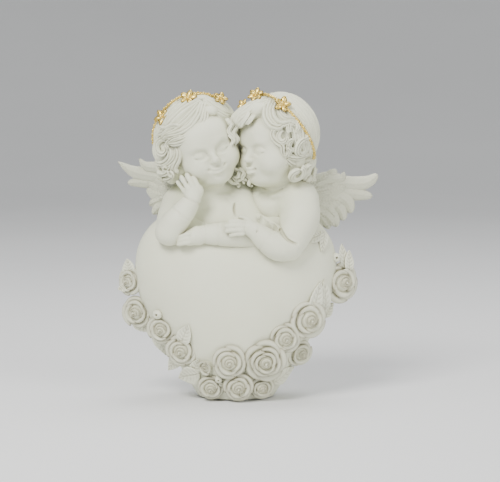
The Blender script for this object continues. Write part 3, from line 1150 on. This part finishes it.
def all_wings():
    """Two spread wings outside, two folded ones between the cherubs."""
    wing(
        "left_outer_wing_look",
        (-30, 14, 117),
        [
            ([(-34, 124.6), (-47.0, 127.4), (-60.0, 130.0), (-69.6, 135.8)], 8.2, 1.6, 0.72),
            ([(-34, 127.0), (-44.0, 132.0), (-52.6, 133.4), (-57.0, 137.8)], 6.6, 3.0, 0.7),
            ([(-34, 129.0), (-41.0, 134.0), (-48.0, 136.2)], 5.6, 2.2, 0.5),
            ([(-33, 121.8), (-45.0, 123.6), (-56.0, 123.8), (-64.0, 123.4)], 7.0, 0.4, 0.40),
            ([(-34, 123.0), (-47.0, 126.0), (-58.6, 127.0)], 6.4, -0.9, 0.5),
            ([(-33, 118.0), (-42.0, 120.0), (-48.0, 119.6), (-51.4, 120.2)], 6.8, 1.4, 0.42),
            ([(-32, 115.0), (-39.0, 116.2), (-46.2, 116.0)], 7.2, 0.6, 0.42),
            ([(-32, 112.0), (-38.0, 112.4), (-43.8, 111.6)], 7.2, 1.6, 0.42),
            ([(-31, 109.0), (-36.6, 108.6), (-41.6, 107.6)], 6.8, 0.4, 0.42),
            ([(-30, 106.6), (-35.0, 105.4), (-39.4, 104.2)], 6.4, 1.4, 0.45),
        ],
        [
            (21.5, 134, 224, 7, 12, 7.2, 2.8),
            (15.5, 128, 228, 6, 11, 6.6, 4.2),
            (9.5, 124, 228, 5, 8, 5.4, 5.2),
        ],
        0.2,
        ["left_outer_wing"],
        41,
    )
    wing(
        "right_outer_wing_look",
        (38, 12, 117),
        [
            ([(44, 122.0), (57.0, 124.0), (70.4, 123.0), (78.0, 124.4), (83.2, 128.4)], 8.6, 1.4, 0.40),
            ([(46, 124.6), (55.0, 126.0), (61.4, 126.8), (63.4, 130.2)], 6.2, 3.4, 0.7),
            ([(45, 125.6), (51.0, 127.2), (57.0, 129.0)], 6.0, 2.6, 0.5),
            ([(44, 121.0), (58.0, 121.6), (69.0, 120.2), (74.4, 119.2)], 8.4, -0.6, 0.45),
            ([(43, 119.0), (57.0, 119.4), (69.0, 117.4), (80.2, 115.4)], 9.6, 0.8, 0.42),
            ([(43, 116.5), (55.0, 117.0), (64.4, 113.2), (67.8, 105.8)], 9.4, 1.8, 0.38),
            ([(42, 113.5), (52.6, 113.2), (60.4, 108.8), (63.4, 101.4)], 9.2, 0.9, 0.40),
            ([(41, 110.0), (49.6, 109.0), (56.4, 104.0), (59.2, 97.8)], 8.8, 1.8, 0.42),
            ([(40, 107.0), (46.6, 105.4), (52.2, 101.2), (54.6, 96.6)], 8.0, 0.8, 0.45),
            ([(39, 105.0), (44.0, 103.2), (48.0, 100.4), (50.0, 97.4)], 6.8, 1.8, 0.45),
        ],
        [
            (25.5, 36, -56, 8, 14, 7.4, 2.8),
            (19.5, 42, -62, 7, 12.5, 6.8, 4.2),
            (13.0, 48, -66, 6, 10.5, 6.2, 5.6),
        ],
        0.2,
        ["right_outer_wing"],
        42,
    )
    wing(
        "left_inner_wing_look",
        (-6, 18, 113),
        [
            ([(-7, 117), (-8.0, 128.0), (-5.0, 139.0)], 7.6, 0.0, 0.5),
            ([(-5, 116), (-2.0, 128.0), (1.6, 138.4)], 7.6, 1.2, 0.5),
            ([(-3, 115), (2.4, 125.0), (6.4, 134.0)], 7.6, 0.2, 0.5),
            ([(-1, 114), (5.4, 121.0), (10.2, 129.4)], 7.6, 1.2, 0.5),
        ],
        [(15.5, 108, 44, 5, 10, 5.6, 2.4), (10.5, 112, 40, 4, 8, 5.0, 3.4)],
        0.1,
        ["left_inner_wing"],
        43,
    )
    wing(
        "right_inner_wing_look",
        (22, 19, 112),
        [
            ([(21, 116), (22.4, 127.0), (19.0, 138.5)], 7.6, 0.0, 0.5),
            ([(19, 115), (17.4, 127.0), (12.4, 139.0)], 7.6, 1.2, 0.5),
            ([(17, 114), (12.6, 125.0), (6.0, 136.6)], 7.6, 0.2, 0.5),
            ([(15, 113), (8.6, 121.0), (1.2, 131.0)], 7.6, 1.2, 0.5),
        ],
        [(15.5, 72, 138, 5, 10, 5.6, 2.4), (10.5, 68, 142, 4, 8, 5.0, 3.4)],
        0.1,
        ["right_inner_wing"],
        44,
    )


# ---------------------------------------------------------------- garland

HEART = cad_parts["heart_body"]
HEART_MIDDLE = 62.0


def heart_front(x, z):
    """Y of the heart's front surface at (x, z), or of its rim outside it."""
    hit, spot, _, _ = HEART.ray_cast(Vector((x * MM, -0.2, z * MM)), Vector((0, 1, 0)))
    return spot.y / MM if hit else 0.0


def outward(x, z, tilt):
    """The way a garland piece faces: the front, turned away from the heart's middle by tilt degrees."""
    away = unit((x, 0, (z - HEART_MIDDLE) * 0.6))
    angle = math.radians(tilt)
    return away * math.sin(angle) + np.array([0, -math.cos(angle), 0])


def petal(around, spread, inner, outer, low, high, roll, thick, lean, corner=0.2):
    """One rose petal as shares of the rose's radius: it rises from low to high and rolls out at its lip."""
    t, w = sheet_grid(15, 19)
    reach = t * (1 - corner * np.abs(w) ** 3.2 + 0.03 * np.cos(w * 5))
    lip = np.clip((reach - 0.66) / 0.34, 0, 1)
    r = inner + (outer - inner) * reach**0.75 + roll * lip**1.6 + lean * w - 0.05 * np.abs(w) ** 4
    h = low + (high - low) * np.sin(reach * np.pi / 2) - roll * 0.9 * lip**2.4
    return shell_of(round_axis(r, around + w * spread, h), thick)


def whorl(turns, wide, narrow, low, high, thick):
    """The rolled heart of a rose: one band wound inwards, its lip leaning out."""
    t = np.linspace(0, 1, 8)[:, None]
    s = np.linspace(0, 1, int(34 * turns))[None, :]
    angle = s * turns * 2 * np.pi
    base = wide + (narrow - wide) * s**0.85
    r = base * (0.82 + 0.18 * t) + 0.035 * t**3
    h = low + (high - 0.26 * (1 - s) ** 1.4 - low) * t - 0.03 * t**4
    return shell_of(round_axis(r, angle, h), thick, power=10)


# Each rose: its middle across and up, its radius, its outward tilt and spin, and its petals a ring.
ROSES = {
    "rose_01": (-60.4, 67.6, 8.2, 38, 10, (4, 3, 0)),
    "rose_02": (-56.6, 49.9, 9.4, 26, 40, (4, 3, 0)),
    "rose_03": (-42.3, 41.4, 8.5, 18, 0, (4, 3, 0)),
    "rose_04": (-30.9, 29.8, 9.0, 16, 25, (5, 3, 0)),
    "rose_05": (-14.2, 8.9, 7.6, 18, 50, (3, 3, 0)),
    "rose_06": (-3.7, 24.4, 9.6, 6, 15, (4, 3, 0)),
    "rose_07": (1.4, 9.7, 8.7, 14, 30, (3, 4, 0)),
    "rose_08": (16.2, 25.0, 12.0, 12, 5, (5, 4, 3)),
    "rose_09": (14.8, 8.6, 6.9, 20, 60, (3, 3, 0)),
    "rose_10": (27.5, 37.4, 8.9, 15, 26, (4, 3, 0)),
    "rose_11": (36.2, 27.3, 7.9, 34, 45, (3, 2, 0)),
    "rose_12": (40.5, 47.8, 10.7, 22, 35, (4, 3, 0)),
    "rose_13": (59.6, 66.9, 11.4, 32, 12, (4, 3, 0)),
}

# Each leaf: its base across and up, the way its tip points, and its length and width seen from the front.
LEAVES = {
    "leaf_01": (-60.8, 71.0, 102, 10.0, 9.0),
    "leaf_02": (-62.5, 64.5, 196, 6.5, 5.5),
    "leaf_03": (-60.0, 46.5, 322, 14.5, 9.0),
    "leaf_04": (-46.5, 38.5, 294, 15.5, 9.0),
    "leaf_05": (-30.6, 33.5, 72, 12.8, 9.5),
    "leaf_06": (-31.5, 27.5, 236, 13.0, 8.5),
    "leaf_07": (-20.5, 17.0, 198, 13.0, 12.5),
    "leaf_08": (-24.5, 15.5, 72, 10.5, 7.5),
    "leaf_09": (20.5, 10.5, 33, 15.0, 9.0),
    "leaf_10": (42.6, 51.5, 72, 19.0, 9.0),
    "leaf_11": (50.0, 51.0, 89, 20.0, 7.6),
    "leaf_12": (50.5, 46.5, 57, 10.5, 6.5),
    "leaf_13": (62.6, 75.0, 97, 14.5, 6.5),
    "leaf_14": (64.8, 73.0, 88, 12.8, 6.5),
    "leaf_15": (48.0, 95.4, 196, 10.0, 7.0),
    "leaf_16": (49.6, 97.0, 266, 11.5, 6.5),
}

# Each pearl: its middle across and up, and its radius.
PEARLS = {
    "pearl_01": (-45.0, 50.2, 2.75),
    "pearl_02": (57.6, 81.8, 2.75),
    "pearl_03": (-9.8, 13.6, 2.2),
}


def rose(name):
    """A rose: broad outer petals, a cup of inner ones and a rolled heart."""
    x, z, radius, tilt, spin, rings = ROSES[name]
    rng = np.random.default_rng(int(name[-2:]) * 11)
    normal = outward(x, z, tilt)
    middle = np.array([x, heart_front(x, z), z]) - normal * radius * 0.2
    axes = turned(normal, (math.sin(math.radians(spin)), 0, math.cos(math.radians(spin))))
    cup = [(0, 0.0), (0.52, 0.0), (0.8, 0.2), (0.74, 0.36), (0.5, 0.52), (0.34, 0.7), (0.16, 0.88), (0, 0.94)]
    parts = [lathe(cup)]
    sizes = [  # of each ring's petals: inner and outer reach, low and high, roll of the lip, thickness
        (0.46, 0.93, 0.10, 0.50, 0.10, 0.15),
        (0.34, 0.66, 0.26, 0.72, 0.08, 0.12),
        (0.27, 0.46, 0.36, 0.84, 0.06, 0.10),
    ]
    for ring, (count, (inner, outer, low, high, roll, thick)) in enumerate(zip(rings, sizes)):
        start = rng.uniform(0, 2 * np.pi)
        for n in range(count):
            around = start + 2 * np.pi * (n + rng.uniform(-0.08, 0.08)) / count
            grow = rng.uniform(0.95, 1.05)
            top = high * rng.uniform(0.96, 1.03)
            lean, corner = 0.085 - 0.02 * ring, 0.12 + 0.05 * ring
            spread = np.pi / count * 1.32
            parts.append(petal(around, spread, inner, outer * grow, low, top, roll, thick, lean, corner))
    third_ring = rings[2] > 0
    parts.append(whorl(2.0, 0.28 if third_ring else 0.37, 0.06, 0.42, 1.08, 0.10))
    parts.append(lathe([(0, 0.5), (0.07, 0.5), (0.06, 0.98), (0.035, 1.04), (0, 1.05)], 12))
    placed = [(to_world(points * radius, middle, axes), faces) for points, faces in parts]
    return piece(name + "_look", placed, GARLAND_RESIN, [name])


def rose_bud():
    """A half-open bud whose petals wrap one another and open to the left."""
    x, z, radius = -16.4, 20.9, 4.7
    normal = unit(outward(x, z, 30) + np.array([-0.35, 0, 0.1]))
    middle = np.array([x, heart_front(x, z), z]) - normal * radius * 0.3
    axes = turned(normal, (0.3, 0, 1))
    parts = [lathe([(0, 0.0), (0.5, 0.0), (0.72, 0.3), (0.6, 0.7), (0.3, 0.8), (0, 0.8)])]
    for n in range(3):
        parts.append(petal(n * 2.1 + 0.3, 1.25, 0.5, 0.88, 0.0, 0.95, 0.1, 0.16, lean=0.09))
    parts.append(whorl(1.6, 0.42, 0.1, 0.4, 1.15, 0.13))
    placed = [(to_world(points * radius, middle, axes), faces) for points, faces in parts]
    return piece("rose_bud_look", placed, GARLAND_RESIN, ["rose_bud"])


def leaf(name):
    """A pointed leaf with a toothed edge, a raised midrib and slanted side veins, laid on the heart."""
    x, z, angle, reach, width = LEAVES[name]
    base = np.array([x, heart_front(x, z), z])
    tip = base + reach * np.array([math.cos(math.radians(angle)), 0, math.sin(math.radians(angle))])
    tip[1] = min(heart_front(tip[0], tip[2]), base[1] + reach * 0.55)
    length = np.linalg.norm(tip - base)
    along = unit(tip - base)
    facing = outward((x + tip[0]) / 2, (z + tip[2]) / 2, 30)
    normal = unit(facing - along * np.dot(facing, along))
    axes = np.array([np.cross(along, normal), along, normal])
    u, v = sheet_grid(49, 21)
    bulge = []
    for share in u[:, 0]:
        spot = base + (tip - base) * share
        bulge.append(max(0.0, spot[1] - heart_front(spot[0], spot[2])))
    bulge = np.array(bulge)[:, None] * abs(axes[2][1])
    shape = np.sin(np.pi * u**0.82) ** 0.8 * (1 - 0.25 * u)
    teeth = 1 + 0.07 * (((u * 8) % 1) - 0.5) * (u > 0.08) * (u < 0.95)
    half = np.maximum(width / 2 * 1.08 * shape * teeth, 0.12)
    rib = (0.45 * np.exp(-((v / 0.22) ** 2)) - 0.95 * np.exp(-((v / 0.075) ** 2))) * (1 - 0.5 * u)
    phase = (u * 6.2 - np.abs(v) * 1.25) % 1
    vein = -0.42 * np.exp(-(((phase - 0.5) / 0.13) ** 2)) * (np.abs(v) > 0.08) * (1 - v**4)
    fold = 0.7 * (np.abs(v) ** 1.3) * shape * width / 9
    rise = bulge + 1.0 + fold + 0.4 * np.sin(u * 2 * np.pi)
    rim = np.sqrt(np.clip(1 - np.abs(v) ** 6, 0, 1)) * np.sqrt(np.clip(1 - u**14, 0, 1))
    flat = np.stack([v * half, u * length + 0 * v, rise + 0 * v], -1)
    upper = flat + np.array([0, 0, 1]) * ((rib + vein + 0.55) * rim)[..., None]
    lower = flat - np.array([0, 0, 1]) * rim[..., None]
    points, faces = sheet_solid(upper, lower)
    return piece(name + "_look", [(to_world(points, base, axes), faces)], GARLAND_RESIN, [name])


def pearl(name):
    """A round berry with a dimple in its front."""
    x, z, radius = PEARLS[name]
    normal = outward(x, z, 15)
    middle = np.array([x, heart_front(x, z) - radius * 0.7, z])
    profile = [(0, -1.0)]
    for angle in np.linspace(-80, 70, 14):
        profile.append((math.cos(math.radians(angle)), math.sin(math.radians(angle))))
    profile += [(0.3, 0.955), (0.25, 0.90), (0.22, 0.70), (0.18, 0.5), (0, 0.46)]
    points, faces = lathe(profile)
    axes = turned(normal, (0, 0, 1))
    parts = [(to_world(points * radius, middle, axes), faces)]
    if name == "pearl_03":
        second = np.array([-8.3, heart_front(-8.3, 10.9) - radius * 0.3, 10.9])
        parts.append((to_world(points * radius * 0.8, second, axes), faces))
    return piece(name + "_look", parts, GARLAND_RESIN, [name])


# ---------------------------------------------------------------- gold trim


def star_flower(middle, normal, radius, petals, spin):
    """A flower of pointed, keeled petals round a beaded middle."""
    axes = turned(normal, (math.sin(spin), 0.05, math.cos(spin)))
    parts = []
    t, w = sheet_grid(12, 9)
    half = 0.33 * np.sin(np.pi * np.clip(t * 0.93 + 0.07, 0, 1)) ** 0.7
    keel = 0.14 * np.sin(t * 2.4) + 0.10 * (1 - np.abs(w))
    flat = np.stack([w * half, 0.1 + 0.9 * t + 0 * w, keel], -1)
    points, faces = shell_of(flat, 0.13)
    for n in range(petals):
        angle = 2 * np.pi * n / petals
        c, s = math.cos(angle), math.sin(angle)
        spun = points @ np.array([[c, s, 0], [-s, c, 0], [0, 0, 1]])
        parts.append((to_world(spun * radius, middle, axes), faces))
    bead, faces = lathe([(0, -0.1), (0.12, -0.06), (0.15, 0.05), (0.1, 0.15), (0, 0.19)], 10)
    for n in range(5):
        angle = 2 * np.pi * n / 5
        offset = np.array([0.15 * math.cos(angle), 0.15 * math.sin(angle), 0.16])
        parts.append((to_world((bead * 0.75 + offset) * radius, middle, axes), faces))
    parts.append((to_world((bead + np.array([0, 0, 0.24])) * radius, middle, axes), faces))
    return parts


# Each flower: the hair it sits on, its middle, its radius, its petals and its spin in radians.
FLOWERS = {
    "flower_01": (LEFT_MOP, (-27.0, -10.0, 173.8), 5.2, 5, 0.2),
    "flower_02": (LEFT_MOP, (-42.0, -8.0, 162.8), 5.2, 5, 0.7),
    "flower_03": (LEFT_MOP, (-9.0, -6.0, 173.2), 4.6, 5, 0.4),
    "flower_04": (RIGHT_MOP, (11.6, -9.6, 175.2), 5.0, 6, 0.1),
    "flower_05": (RIGHT_MOP, (26.4, -21.8, 170.4), 5.2, 5, 0.3),
    "flower_06": (RIGHT_MOP, (4.4, -11.4, 170.0), 3.7, 5, 0.5),
}

# Each headband: its hair, middle, axis and radius, the place where it stands proud, and by how much.
HEADBANDS = {
    "left_headband": (LEFT_MOP, (-23.8, 6.4, 153.8), (-0.248, 0.828, 0.502), 23.6, (-30.0, -8.0, 172.0), 0.6),
    "right_headband": (RIGHT_MOP, (28.0, -2.5, 155.8), (0.695, 0.40, 0.597), 24.2, (19.0, -17.0, 174.0), 1.8),
}


def flower(name):
    """A gold star flower set on the hair."""
    mop, at, radius, petals, spin = FLOWERS[name]
    at = np.asarray(at, float)
    normal = unit(unit((at - mop.middle) / mop.radii) + np.array([0, -0.75, 0]))
    parts = star_flower(at + normal * 0.5, normal, radius, petals, spin)
    return piece(name + "_look", parts, GOLD, [name])


BAND_STEPS = 260
BAND_TWISTS = 44
BAND_LIFT = 2.4
BEAD_SPACING = 5  # steps of the band from one bead to the next


def headband(name):
    """A cord of two twisted strands with small beads along it."""
    mop, middle, axis, radius, proud, rise = HEADBANDS[name]
    axis = unit(axis)
    side = unit(np.cross(axis, [0.1, 0.9, 0.3]))
    other = np.cross(axis, side)
    t = np.linspace(0, 2 * np.pi, BAND_STEPS, endpoint=False)
    loop = np.asarray(middle) + radius * (np.cos(t)[:, None] * side + np.sin(t)[:, None] * other)
    loop = mop.lay(loop, BAND_LIFT + rise * np.exp(-(((loop - proud) ** 2).sum(1)) / 120))
    out = unit_rows(loop - mop.middle)
    parts = []
    for phase in (0.0, np.pi):
        turn = t * BAND_TWISTS + phase
        strand = loop + 0.42 * (np.cos(turn)[:, None] * out + np.sin(turn)[:, None] * axis)
        strand = np.vstack([strand, strand[:1]])
        parts.append(tube(strand, 0.5, 8))
    bead, faces = lathe([(0, -0.62), (0.45, -0.43), (0.62, 0), (0.45, 0.43), (0, 0.62)], 10)
    for n in range(0, BAND_STEPS, BEAD_SPACING):
        parts.append((bead + loop[n] + out[n] * 0.55, faces))
    return piece(name + "_look", parts, GOLD, [name])


model_head("left_head_look", *LEFT_FACE, ["left_head"], 1.0, 0.0, (-14.0, 1.5, 121.0))
model_head("right_head_look", *RIGHT_FACE, ["right_head"], 0.15, 1.0, (27.0, 0.0, 121.0))
left_hair()
right_hair()
left_torso()
left_raised_arm()
left_folded_arm()
right_torso()
right_near_arm()
right_far_arm()
all_wings()
for name in ROSES:
    rose(name)
rose_bud()
for name in LEAVES:
    leaf(name)
for name in PEARLS:
    pearl(name)
for name in FLOWERS:
    flower(name)
for name in HEADBANDS:
    headband(name)
for name, material in (("heart_body", HEART_RESIN), ("base_felt", FELT)):
    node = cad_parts[name]
    for slot in node.material_slots:
        slot.material = material


# ---------------------------------------------------------------- stage, light and camera


FLOOR_SIDES = 96
FLOOR_RINGS = 24


def stage():
    """A plain pale floor, flat under the object and rising gently all round it. Lengths are metres."""
    material, tree, shader, place = new_material("floor_paper")
    cloud = texture(tree, place, "ShaderNodeTexNoise", {"Scale": 3.0, "Detail": 2.0})
    tone = ramp(tree, cloud.outputs["Fac"], [(0.3, (0.78, 0.785, 0.79)), (0.7, (0.81, 0.815, 0.82))])
    tree.links.new(tone, shader.inputs["Base Color"])
    shader.inputs["Roughness"].default_value = 0.8
    rings = [(1.4 + 1.4 * t, 0.45 * t * t) for t in np.linspace(0, 1, FLOOR_RINGS)]
    turns = [(math.cos(a), math.sin(a)) for a in np.linspace(0, 2 * math.pi, FLOOR_SIDES, endpoint=False)]
    points = [(reach * x, reach * y, z) for reach, z in rings for x, y in turns]
    faces = [tuple(range(FLOOR_SIDES))]
    for i in range((FLOOR_RINGS - 1) * FLOOR_SIDES):
        after = i + 1 - (FLOOR_SIDES if i % FLOOR_SIDES == FLOOR_SIDES - 1 else 0)
        faces.append((i, i + FLOOR_SIDES, after + FLOOR_SIDES, after))
    mesh = bpy.data.meshes.new("floor")
    mesh.from_pydata(points, [], faces)
    mesh.polygons.foreach_set("use_smooth", [True] * len(mesh.polygons))
    mesh.materials.append(material)
    floor = in_scene("floor", mesh)


def lamp(name, at, aim, size, power, colour=(1, 1, 1)):
    """A soft square light at a point, aimed at another."""
    data = bpy.data.lights.new(name, "AREA")
    data.size = size
    data.energy = power
    data.color = colour
    made = in_scene(name, data)
    made.location = at
    made.rotation_euler = (Vector(aim) - Vector(at)).to_track_quat("-Z", "Y").to_euler()


def lights():
    """A large soft key above and to the left, a weaker fill on the right, and a pale surround."""
    lamp("key", (-0.45, -0.85, 1.0), (0, 0, 0.09), 0.5, 21, (1.0, 0.985, 0.96))
    lamp("fill", (2.1, -1.8, 1.15), (0, 0, 0.09), 1.4, 38, (1.0, 0.99, 0.97))
    lamp("top", (0.1, 0.25, 1.1), (0, 0, 0.1), 0.6, 7)
    world = bpy.data.worlds.new("surround")
    world.use_nodes = True
    sky = world.node_tree.nodes["Background"].inputs
    sky["Color"].default_value = (0.93, 0.95, 0.96, 1)
    sky["Strength"].default_value = 0.44
    bpy.context.scene.world = world


def camera():
    """A long lens, a little above the object's middle, square on to its front."""
    aim = Vector((0.0081, -0.010, 0.0919))
    rise = math.radians(5.5)
    reach = 1.15
    view_width = 0.2875
    sensor = 36
    data = bpy.data.cameras.new("camera")
    data.sensor_width = sensor
    data.lens = sensor * reach / view_width
    made = in_scene("camera", data)
    made.location = aim + Vector((0, -math.cos(rise), math.sin(rise))) * reach
    made.rotation_euler = (aim - made.location).to_track_quat("-Z", "Y").to_euler()
    bpy.context.scene.camera = made


stage()
lights()
camera()
bpy.context.view_layer.update()
